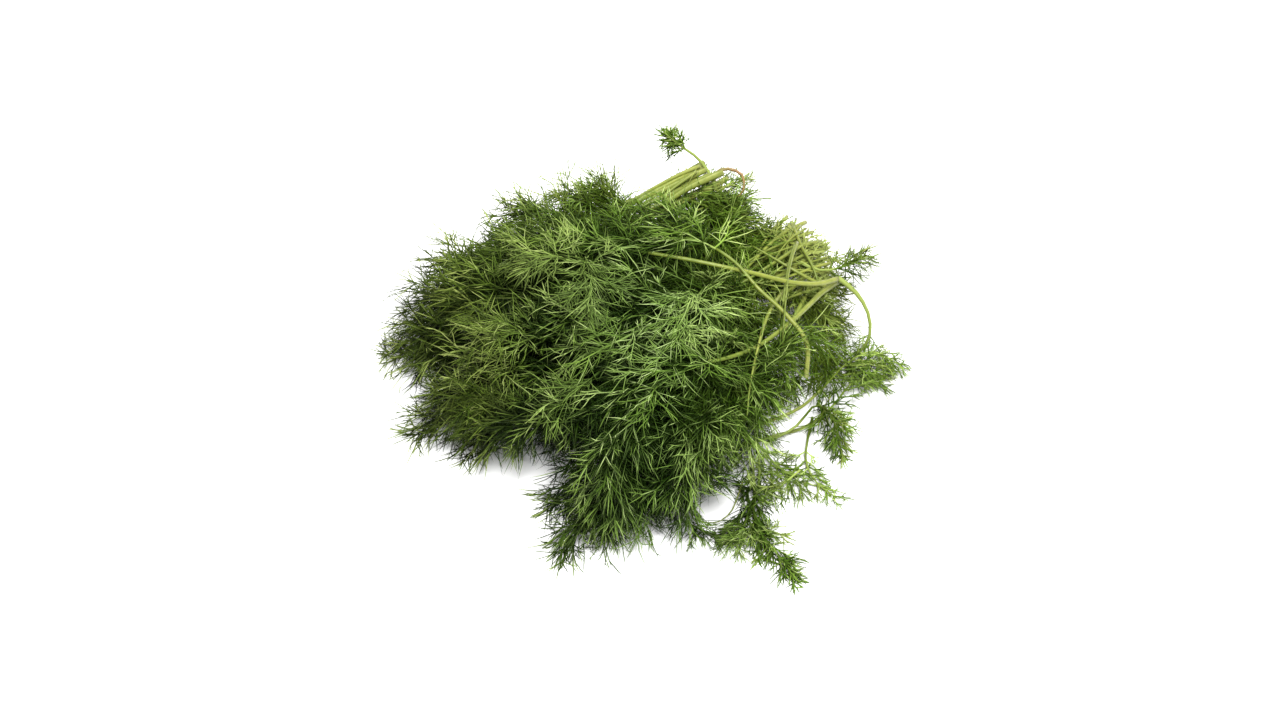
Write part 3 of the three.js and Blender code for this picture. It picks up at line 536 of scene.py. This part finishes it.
def add_stalk(mass, sprig, end):
    reach = end * sprig.length
    shares = np.linspace(0, end, max(6, int(reach / STALK_RING_EVERY)))
    rng = np.random.default_rng(STALK_SEED + sprig.number)
    ripple = 1 + GROOVE * np.cos(np.arange(STALK_SIDES) * math.pi) + rng.uniform(-UNEVEN, UNEVEN, STALK_SIDES)
    radii = sprig.radius(shares)
    radii = radii * (1 + SWELL * np.sin(shares * sprig.length / SWELL_EVERY + rng.uniform(0, 6)))
    values = np.stack([np.full(len(shares), rng.uniform(0.2, 0.8)), 0 * shares, shares / end], axis=1)
    mass.tube(sprig.at(shares), sprig.along(shares), radii, STALK_SIDES, ripple, values, RIBS)


def build_stem(sprig, material):
    mass = Mass()
    add_stalk(mass, sprig, sprig.leaf_from - GAP / 2 / sprig.length)
    return mass.made(sprig.name + "_stalk", material)


# ---- Leaves ----
LEAF_SEED = 9000
AXIS_END, AXIS_RING_EVERY, AXIS_SIDES = 0.985, 6, 6
# How a full leaf and a flat open frond grow. at_node small leaves leave the axis together every
# node_every, give or take a share of it. leaf is how long a small leaf is at the base and at the tip,
# and lift, wave and tilt are how far it rises, bends and turns its plane. rib and thread are the
# lengths of its ribs and of their threads, each with how far apart they leave. thread_lean is how
# threads lean out at each end of a rib, and rise the mean and spread out of the plane, in degrees.
# forked is the share of threads that fork.
FULL_LOOK = dict(at_node=3, node_every=6.6, node_spread=1, leaf=(26.0, 11.0), lift=0.15, wave=0.3,
                 tilt=0.5, rib_every=6.2, rib=13.0, thread_every=3.3, thread=14.5, thread_lean=(42, 22),
                 rise=(4, 30), forked=0.3)
OPEN_LOOK = dict(at_node=2, node_every=8.0, node_spread=0.3, leaf=(19.0, 9.0), lift=0.03, wave=0.14,
                 tilt=0.12, rib_every=6.6, rib=12.5, thread_every=4.4, thread=11.5, thread_lean=(40, 22),
                 rise=(0, 12), forked=0.2)
GOLDEN_TURN = 137.5
END_LEAF, END_YOUNG = 22, 0.3  # the small leaf that ends a sprig: its length and how young it is
TIP_THREAD_EVERY = 3.6
LEAN_SPREAD = 9  # in degrees, of every shoot
REACH_SPREAD = (0.78, 1.2)
DROOP, SHOOT_WAVE, SHOOT_TILT = 0.25, 0.48, 0.25
# small leaves, ribs, threads, end threads and forks: radius at the base, share of it that is left at the
# last ring, number of rings, where the last one is, and how far out in the leaf each starts and ends
ROD_SHAPES = ((0.56, 0.6, 5, 0.92, 0.0, 0.2), (0.4, 0.7, 4, 0.85, 0.1, 0.6), (0.285, 0.85, 2, 0.58, 0.3, 1.0),
              (0.29, 0.85, 3, 0.75, 0.3, 1.0), (0.27, 0.85, 2, 0.6, 0.4, 1.0))
TOP_FROM, TOP_KEPT = 84.0, 0.5  # leaves that stand higher than this are pressed down to a share of it
SIDE_FROM = ((-152.0, -137.0), (152.0, 137.0))  # past these sides a leaf keeps half its reach
# a gap low in front, where the table shows: its foot, its way, which leans to the front, and its size
HOLE, HOLE_WAY = np.array([36.9, -81.2, 0.0]), np.array([0.0, -0.643, 0.766])
HOLE_RADIUS, HOLE_TOP = 7.6, 32.0
HOLE_CROSSED = 0.8  # a rod that comes nearer than this share of the gap's radius is left out


def side_of(ahead):
    side = unit(np.cross(ahead, UP))
    return side, np.cross(side, ahead)


class Rods:
    """Many bent rods: where each starts, its first direction, bend, length, plane and colouring."""

    def __init__(self, root, way, bend, length, across, tint, young):
        self.root, self.way, self.bend, self.length = root, way, bend, length
        self.across, self.tint, self.young = across, tint, young

    def only(self, chosen):
        return Rods(self.root[chosen], self.way[chosen], self.bend[chosen], self.length[chosen],
                    self.across[chosen], self.tint[chosen], self.young[chosen])

    def at(self, index, share):
        reach = (share * self.length[index])[:, None]
        return self.root[index] + self.way[index] * reach + self.bend[index] * (share[:, None] * reach) / 2

    def ahead(self, index, share):
        return unit(self.way[index] + self.bend[index] * share[:, None])


def from_hole(points):
    """How points lie from the line through the gap, their distance, and how wide it is on that side."""
    reach = points - HOLE
    aside = reach - dot(reach, HOLE_WAY) * HOLE_WAY
    turn = np.arctan2(aside[..., 1:2], aside[..., 0:1])
    uneven = 1 + 0.16 * np.sin(2 * turn + 1) + 0.1 * np.sin(3 * turn)
    wide = HOLE_RADIUS * uneven * (points[..., 2:] < HOLE_TOP)
    return aside, np.linalg.norm(aside, axis=-1, keepdims=True), wide


def solid_rods(mass, rng, rods, base, tip, rings, last, from_along, to_along):
    """Adds rods as pointed prisms. last is where along a rod its last ring is."""
    n = len(rods.root)
    every = np.arange(n)
    places = np.append(np.linspace(0, last, rings), 1.0)
    path = np.stack([rods.at(every, np.full(n, p)) for p in places], axis=1)
    rest = base[:, None] + 0.4 * rng.random((n, 1))  # how high it lies where it would sink into the table
    path[..., 2] = np.maximum(path[..., 2], rest)
    path[..., 2] -= (1 - TOP_KEPT) * np.maximum(path[..., 2] - TOP_FROM, 0)
    path[..., :2] = (path[..., :2] + np.clip(path[..., :2], *SIDE_FROM)) / 2
    aside, away, wide = from_hole(path)
    path += aside / np.maximum(away, 0.01) * np.maximum(wide - away / 2, 0)
    path[..., 2] = np.maximum(path[..., 2], rest)
    step = path[:, 1:] - path[:, :-1]
    between = np.concatenate([path[:, :-1] + share * step for share in (0.25, 0.5, 0.75)], axis=1)
    _, away, wide = from_hole(between)
    clear = np.all(away > HOLE_CROSSED * wide, axis=(1, 2))
    radius = base[:, None] * np.interp(places[:-1], [0, last], [1.0, tip])[None]
    along = np.repeat(np.interp(places, [0, 1], [from_along, to_along])[None], n, axis=0)
    turn = rng.uniform(0, 2, n)
    mass.prisms(path[clear, :-1], path[clear, -1], radius[clear], rods.tint[clear], rods.young[clear],
                along[clear], turn[clear])


def shoots(rng, rods, every, start, lean, raised, reach, curl, tint_spread, pairs=True):
    """Pairs of rods from each rod. lean is in degrees at its start and its end; reach(share) is a length."""
    counts = np.maximum(1, ((1 - start) * rods.length / every).astype(int))
    sides = 2 if pairs else 1
    index = np.repeat(np.arange(len(rods.root)), sides * counts)
    first = np.cumsum(sides * counts) - sides * counts
    order = np.arange(len(index)) - first[index]
    hand = np.where(order % 2, 1.0, -1.0)[:, None]
    n = len(index)
    share = start + (1 - start) * (order // sides + 0.5 + rng.uniform(-0.3, 0.3, n)) / counts[index]
    ahead = rods.ahead(index, share)
    side = unit(rods.across[index] - dot(rods.across[index], ahead) * ahead)
    up = np.cross(side, ahead)
    angle = np.radians(np.interp(share, [0, 1], lean) + rng.normal(0, LEAN_SPREAD, n))[:, None]
    lift = np.radians(rng.normal(*raised, n))[:, None]
    out = hand * side * np.cos(lift) + up * np.sin(lift)
    way = ahead * np.cos(angle) + out * np.sin(angle)
    length = reach(share, index) * rng.uniform(*REACH_SPREAD, n)
    bend = ahead * rng.uniform(0.0, 2 * curl, (n, 1)) - UP * DROOP + rng.normal(0, SHOOT_WAVE, (n, 3))
    across = unit(side - dot(side, way) * way + rng.normal(0, SHOOT_TILT, (n, 3)))
    tint = np.clip(rods.tint[index] + rng.normal(0, tint_spread, n), 0, 1)
    young = np.clip(rods.young[index] * rng.uniform(0.8, 1.2, n), 0, 1)
    return Rods(rods.at(index, share), way, bend, length, across, tint, young)


def add_axis(mass, sprig):
    """A leaf's own stalk, from where the bare stem ends to near the tip."""
    slight, bare, thin = sprig.name in SLIGHT, sprig.leaf_from, sprig.size**0.5
    first = 0 if sprig.slight else bare + GAP / 2 / sprig.length
    shares = np.linspace(first, AXIS_END, max(8, int((1 - first) * sprig.length / AXIS_RING_EVERY)))
    full = 0.95 * STOUTER.get(sprig.name, 1) if sprig.slight else LEAF_SLIMMER
    radii = np.interp(shares, [first, bare + 0.001, min(0.95, bare + 0.25), 1],
                      [full * sprig.radius(first), full * sprig.radius(bare),
                       max(0.75 * thin, 0.7 if slight else 0), 0.35 * thin])
    tone, pale = (0.2, 0.6) if slight else (0.6, 0.85)
    paler = np.interp(shares, [first, bare + 0.001, 1], [pale, 0.8 * pale, 0.25])
    values = np.stack([np.full(len(shares), tone), paler, np.zeros(len(shares))], axis=1)
    mass.tube(sprig.at(shares), sprig.along(shares), radii, AXIS_SIDES, np.ones(AXIS_SIDES), values)


def small_leaves(rng, sprig, look, youth):
    """The axes of the small leaves along a sprig, and of the one that ends it."""
    size, flat = sprig.size, look is OPEN_LOOK
    closer = CLOSER.get(sprig.name, YOUNG_CLOSER if youth > MOSTLY_YOUNG else 1.0)
    room = (1 - sprig.leaf_from) * sprig.length
    nodes = max(3, int(room * closer / (look["node_every"] * size**0.5)))
    # painted shade: sprigs in CLOSER get a darker mood
    mood = rng.uniform(0.15, 0.32) if sprig.name in CLOSER else rng.uniform(0.3, 0.65)
    part = np.repeat((np.arange(nodes) + 0.35) / nodes, look["at_node"])
    n = len(part)
    part = np.clip(part + rng.uniform(-0.5, 0.5, n) * look["node_spread"] / nodes, 0.01, 0.96)
    share = sprig.leaf_from + (1 - sprig.leaf_from) * part
    ahead = sprig.along(share)
    side, up = side_of(ahead)
    if flat:
        hand = np.where(np.arange(n) % 2, -1, 1)
        turn = np.radians(180.0 * np.arange(n) + rng.normal(8, 14, n) * hand)[:, None]
        lean = np.radians(rng.normal(56, 8, n) - 14 * part)[:, None]
    else:
        turn = np.radians(np.arange(n) * GOLDEN_TURN + rng.uniform(-30, 30, n))[:, None]
        lean = np.radians(rng.normal(58, 22, n) - 14 * part)[:, None]
    out = side * np.cos(turn) + up * (np.sin(turn) * 0.75 + look["lift"])
    way = unit(ahead * np.cos(lean) + unit(out) * np.sin(lean))
    bend = ahead * rng.uniform(0.1, 0.6, (n, 1)) - UP * 0.3 + rng.normal(0, look["wave"], (n, 3))
    longest, shortest = look["leaf"]
    length = size * np.interp(part, [0, 0.5, 1], [longest, longest, shortest])
    length = length * rng.uniform(0.7, 1.12, n) / closer**0.5
    across, _ = side_of(unit(way + 0.5 * bend))
    across = unit(across + UP * rng.normal(0, look["tilt"], (n, 1)))
    tint = np.clip(mood + rng.normal(0, 0.18, n), 0.05, 0.95)
    fresh = rng.random(n) < 0.06 + 0.12 * part
    young = np.where(fresh, rng.uniform(0.35, 0.8, n), 0.15 * rng.random(n) ** 2)
    if flat:
        young = np.clip(0.5 * young + 0.08, 0, 1)
    else:
        young = np.clip(young + max(youth, YOUNGER.get(sprig.name, 0)), 0, 1)
    tip = sprig.at(np.array([sprig.end_start]))
    reach = sprig.at(np.array([1.0])) - tip
    tip_way = sprig.along(np.array([sprig.end_start]))
    return Rods(
        np.vstack([sprig.at(share), tip]), np.vstack([way, tip_way]),
        np.vstack([bend, 2 * (unit(reach) - tip_way)]), np.append(length, size * END_LEAF),
        np.vstack([across, side_of(unit(reach))[0]]), np.append(tint, mood), np.append(young, END_YOUNG))


def build_leaf(sprig, mass, youth=0.0):
    rng = np.random.default_rng(LEAF_SEED + sprig.number)
    look = OPEN_LOOK if sprig.name in OPEN else FULL_LOOK
    size, apart = sprig.size, sprig.size**0.5
    add_axis(mass, sprig)
    leaves = small_leaves(rng, sprig, look, youth)
    grown = np.interp(leaves.length / size, [8, 26], [0.62, 1.0])
    longest = size**0.8 * look["thread"]
    ribs = shoots(rng, leaves, look["rib_every"] * apart, 0.12, (56, 30), look["rise"],
                  lambda share, index: size * look["rib"] * (1.0 - 0.5 * share) * grown[index], 0.45, 0.12)
    threads = shoots(rng, ribs, look["thread_every"] * apart, 0.05, look["thread_lean"], look["rise"],
                     lambda share, index: longest * (0.7 + 0.3 * np.sin(math.pi * share))
                     * np.clip(1.3 * ribs.length[index] / (size * look["rib"]), 0.55, 1), 0.6, 0.3)
    tips = shoots(rng, leaves, TIP_THREAD_EVERY * apart, 0.75, (34, 12), (0, 22),
                  lambda share, index: longest * (1 - 0.2 * share), 0.2, 0.12)
    parents = threads.only(rng.random(len(threads.root)) < look["forked"])
    forks = shoots(rng, parents, 100.0, 0.15, (27, 27), (0, 30),
                   lambda share, index: parents.length[index] * (0.95 - share), 0.3, 0.05, pairs=False)
    broad = size**0.3 * BROAD.get(sprig.name, YOUNG_BROAD if youth > MOSTLY_YOUNG else 1.0)
    for rods, (base, *shape) in zip((leaves, ribs, threads, tips, forks), ROD_SHAPES):
        solid_rods(mass, rng, rods, np.full(len(rods.root), base * broad), *shape)


# ---- Materials ----
def nodes_of(name):
    material = bpy.data.materials.new(name)
    material.use_nodes = True
    tree = material.node_tree
    return material, tree, tree.nodes["Principled BSDF"]


def value_of(tree, name):
    """One of the values that Mass keeps at each point."""
    node = tree.nodes.new("ShaderNodeAttribute")
    node.attribute_name = name
    return node.outputs["Fac"]


def ramp(tree, source, stops):
    node = tree.nodes.new("ShaderNodeValToRGB")
    elements = node.color_ramp.elements
    while len(elements) < len(stops):
        elements.new(0.5)
    for element, (place, colour) in zip(elements, stops):
        element.position = place
        element.color = (*colour, 1)
    tree.links.new(source, node.inputs["Fac"])
    return node.outputs["Color"]


def mix(tree, share, a, b, blend="MIX"):
    node = tree.nodes.new("ShaderNodeMix")
    node.data_type = "RGBA"
    node.blend_type = blend
    for socket, value in ((node.inputs[0], share), (node.inputs[6], a), (node.inputs[7], b)):
        if hasattr(value, "links"):
            tree.links.new(value, socket)
        elif isinstance(value, (int, float)):
            socket.default_value = value
        else:
            socket.default_value = (*value, 1)
    return node.outputs[2]


def noise(tree, scale, detail=3.0):
    node = tree.nodes.new("ShaderNodeTexNoise")
    node.inputs["Scale"].default_value = scale
    node.inputs["Detail"].default_value = detail
    place = tree.nodes.new("ShaderNodeTexCoord").outputs["Object"]
    tree.links.new(place, node.inputs["Vector"])
    return node.outputs["Fac"]


def spread(tree, source, low, high, to_low=0.0, to_high=1.0):
    """The source's values from low to high, spread from to_low to to_high and held there."""
    node = tree.nodes.new("ShaderNodeMapRange")
    tree.links.new(source, node.inputs["Value"])
    for label, value in (("From Min", low), ("From Max", high), ("To Min", to_low), ("To Max", to_high)):
        node.inputs[label].default_value = value
    return node.outputs["Result"]


# Colours of the leaf. MADE colours are multiplied into what is there. Of two colours, the first is
# for the darker or the less lit leaf.
LEAF_GREENS = [(0.0, (0.028, 0.062, 0.005)), (0.35, (0.072, 0.14, 0.014)), (0.65, (0.17, 0.28, 0.045)),
               (1.0, (0.44, 0.56, 0.23))]
# MADE_LIT is painted light, multiplied in towards the right and the back
MADE_LIT = (1.4, 1.33, 1.08)
MADE_PATCH = (0.72, 0.78, 0.7)
# young leaf's green as painted shade and painted light: a shaded and a lit copy
YOUNG_SHADED_AND_LIT = (0.28, 0.4, 0.115), (0.37, 0.42, 0.115)
TIP_GREEN, TIP_SHARE = (0.23, 0.33, 0.07), 0.22
MADE_OLIVE = (0.3, 0.275, 0.165), (0.82, 0.74, 0.56)
# painted shade deep under the leaves, multiplied in by how deep a point lies
MADE_PAINTED_SHADE = (0.06, 0.1, 0.022), (0.3, 0.36, 0.14)
# Colours of a stalk, from its cut end on. MADE_TONE goes from its darker to its paler sides.
STEM_STOPS = [(0.0, (0.34, 0.34, 0.15)), (0.04, (0.25, 0.27, 0.066)), (0.5, (0.205, 0.235, 0.044)),
              (1.0, (0.14, 0.185, 0.03))]
DRY_STOPS = [(0.0, (0.16, 0.2, 0.04)), (0.4, (0.26, 0.14, 0.05)), (1.0, (0.2, 0.15, 0.04))]
MADE_TONE = (0.68, 0.74, 0.62), (1.25, 1.2, 1.15)
MADE_STREAK = (0.7, 0.78, 0.62)


def leaf_material():
    material, tree, shader = nodes_of("dill_leaf")
    greens = ramp(tree, value_of(tree, "tint"), LEAF_GREENS)
    place = tree.nodes.new("ShaderNodeTexCoord").outputs["Object"]
    apart = tree.nodes.new("ShaderNodeSeparateXYZ")
    tree.links.new(place, apart.inputs[0])
    # painted light: the leaf is paler towards the right and the back, as if lit more there
    lit = tree.nodes.new("ShaderNodeMath")
    lit.use_clamp = True
    for socket, axis, low, high, most in ((0, "X", 0.01, 0.09, 1.0), (1, "Y", 0.0, 0.09, 0.85)):
        tree.links.new(spread(tree, apart.outputs[axis], low, high, 0.0, most), lit.inputs[socket])
    lit = lit.outputs[0]
    # less of the painted shade out at the rim
    out = tree.nodes.new("ShaderNodeVectorMath")
    out.operation = "LENGTH"
    tree.links.new(place, out.inputs[0])
    rim = spread(tree, out.outputs["Value"], 0.105, 0.15, 1.0, 0.75)
    # painted light: greens multiplied by MADE_LIT where lit is high
    greens = mix(tree, lit, greens, mix(tree, 1.0, greens, MADE_LIT, "MULTIPLY"))
    patches = spread(tree, noise(tree, 28.0), 0.35, 0.65)
    greens = mix(tree, patches, greens, mix(tree, 1.0, greens, MADE_PATCH, "MULTIPLY"))
    # painted light: the young leaf's shaded and lit copies mixed by lit
    pale = mix(tree, lit, *YOUNG_SHADED_AND_LIT)
    colour = mix(tree, value_of(tree, "young"), greens, pale)
    tips = spread(tree, value_of(tree, "along"), 0.55, 1.0, 0.0, TIP_SHARE)
    colour = mix(tree, tips, colour, TIP_GREEN)
    # duller and more olive out to the left, less so at the back
    dull = mix(tree, value_of(tree, "tint"), *MADE_OLIVE)
    olive = mix(tree, 1.0, colour, dull, "MULTIPLY")
    left = tree.nodes.new("ShaderNodeMath")
    tree.links.new(apart.outputs["X"], left.inputs[0])
    tree.links.new(spread(tree, apart.outputs["Y"], 0.0, 0.1, 0.0, 0.07), left.inputs[1])
    colour = mix(tree, spread(tree, left.outputs[0], 0.0, -0.09), colour, olive)
    # painted shade: the leaf darkens deep in the heap, less where the painted light is
    painted_shade_colour = mix(tree, lit, *MADE_PAINTED_SHADE)
    deep = mix(tree, rim, (0, 0, 0), value_of(tree, "deep"))
    colour = mix(tree, deep, colour, mix(tree, 1.0, colour, painted_shade_colour, "MULTIPLY"))
    tree.links.new(colour, shader.inputs["Base Color"])
    rough = spread(tree, noise(tree, 900.0, 2.0), 0.3, 0.7, 0.42, 0.62)
    tree.links.new(rough, shader.inputs["Roughness"])
    shader.inputs["IOR"].default_value = 1.42
    shader.inputs["Specular IOR Level"].default_value = 0.22
    shader.inputs["Specular Tint"].default_value = (0.82, 1.0, 0.6, 1)
    return material


def stem_material(name, stops):
    material, tree, shader = nodes_of(name)
    body = ramp(tree, value_of(tree, "along"), stops)
    tone = mix(tree, value_of(tree, "tint"), *MADE_TONE)
    body = mix(tree, 1.0, body, tone, "MULTIPLY")
    streaks = spread(tree, noise(tree, 260.0, 4.0), 0.35, 0.7)
    body = mix(tree, streaks, body, mix(tree, 1.0, body, MADE_STREAK, "MULTIPLY"))
    tree.links.new(body, shader.inputs["Base Color"])
    rough = spread(tree, streaks, 0, 1, 0.34, 0.5)
    tree.links.new(rough, shader.inputs["Roughness"])
    bump = tree.nodes.new("ShaderNodeBump")
    bump.inputs["Strength"].default_value = 0.25
    bump.inputs["Distance"].default_value = 0.0003
    tree.links.new(streaks, bump.inputs["Height"])
    tree.links.new(bump.outputs["Normal"], shader.inputs["Normal"])
    shader.inputs["IOR"].default_value = 1.45
    shader.inputs["Specular IOR Level"].default_value = 0.35
    return material


# ---- The bunch ----
sprigs = [Sprig(i, *row) for i, row in enumerate(SPRIGS)]
settle(sprigs)
LEAF = leaf_material()
STEM = stem_material("dill_stem", STEM_STOPS)
DRY = stem_material("dry_stem", DRY_STOPS)
masses = [Mass() for _ in sprigs]
for sprig, mass in zip(sprigs, masses):  # the heap is whole before the first piece reads how deep it lies
    build_leaf(sprig, mass)
    heap.grow(mass.all_points())
for sprig, mass in zip(sprigs, masses):
    leaf = mass.made(sprig.name + "_fronds", LEAF)
    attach(leaf, "root")
    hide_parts(sprig.name + "_leaf")
    if not sprig.slight:
        stem = build_stem(sprig, STEM)
        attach(stem, "root")
        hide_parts(sprig.name + "_stem")

# kind: piece, material, slot
SPARE_PIECES = {
    "stalk": ("cut_stalks", STEM, "stem"), "dry": ("dry_loop", DRY, "stem"),
    "bit": ("young_bits", LEAF, "leaf"), "plume": ("young_plumes", LEAF, "leaf"),
    "mid": ("dip_leaves", LEAF, "leaf"), "low": ("low_leaves", LEAF, "leaf")}
spare = {kind: Mass() for kind in SPARE_PIECES}
for i, (name, butt, route) in enumerate(SPARE_STALKS):
    stalk = Sprig(SPARE_STALK_NUMBER + i, name, butt, 1, 1, route)
    add_stalk(spare["dry" if name == DRY_STALK else "stalk"], stalk, 1.0)
for i, (name, size, youth, route) in enumerate(SPARE_LEAVES):
    leaf = Sprig(SPARE_LEAF_NUMBER + i, name, SPARE_BUTT, SPARE_BARE, size, route)
    build_leaf(leaf, spare[name.split("_")[0]], youth)
for kind, (name, material, slot) in SPARE_PIECES.items():
    piece = spare[kind].made(name, material)
    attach(piece, "root")

# ---- Floor, light and camera, in metres ----
FLOOR_REACH = 4
PAPER = (0.92, 0.92, 0.915), (0.95, 0.95, 0.945)
HEAP_MIDDLE, BACK_MIDDLE = (0, 0, 0.03), (0.03, 0.03, 0.03)  # what the lights point at
WORLD_STRENGTH = 0.3
# The camera looks down at the photograph's angle. At the target a pixel of the photograph is
# MM_A_PIXEL wide, which sets the lens.
TARGET = Vector((-0.0039, -0.0037, 0.030))
ELEVATION = math.radians(50)
DISTANCE = 0.95
MM_A_PIXEL, PHOTO_WIDTH, SENSOR_WIDTH = 0.56, 1280, 36

floor_mesh = bpy.data.meshes.new("floor")
corners = [(x * FLOOR_REACH, y * FLOOR_REACH, 0) for x, y in ((-1, -1), (1, -1), (1, 1), (-1, 1))]
floor_mesh.from_pydata(corners, [], [(0, 1, 2, 3)])
floor = add_object("floor", floor_mesh)
paper, tree, shader = nodes_of("paper_floor")
tone = mix(tree, noise(tree, 3.0), *PAPER)
tree.links.new(tone, shader.inputs["Base Color"])
shader.inputs["Roughness"].default_value = 0.9
floor_mesh.materials.append(paper)


def area_light(name, place, target, size, power):
    light = bpy.data.lights.new(name, "AREA")
    light.shape = "DISK"
    light.size = size
    light.energy = power
    lamp = add_object(name, light)
    lamp.location = place
    lamp.rotation_euler = (Vector(target) - Vector(place)).to_track_quat("-Z", "Y").to_euler()


area_light("key", (0.15, -0.6, 1.5), HEAP_MIDDLE, size=0.7, power=49.0)
area_light("fill", (0.3, 0.9, 1.2), BACK_MIDDLE, size=0.8, power=16.0)

bpy.context.scene.view_settings.view_transform = "Standard"
world = bpy.data.worlds.new("studio")
bpy.context.scene.world = world
world.use_nodes = True
background = world.node_tree.nodes["Background"]
background.inputs["Color"].default_value = (1, 1, 1, 1)
background.inputs["Strength"].default_value = WORLD_STRENGTH

camera = bpy.data.cameras.new("camera")
camera.sensor_width = SENSOR_WIDTH
camera.lens = DISTANCE / MM_A_PIXEL * 1000 / PHOTO_WIDTH * SENSOR_WIDTH
camera.clip_end = 20
view = add_object("camera", camera)
view.location = TARGET + DISTANCE * Vector((0, -math.cos(ELEVATION), math.sin(ELEVATION)))
view.rotation_euler = (math.radians(90) - ELEVATION, 0, 0)
bpy.context.scene.camera = view
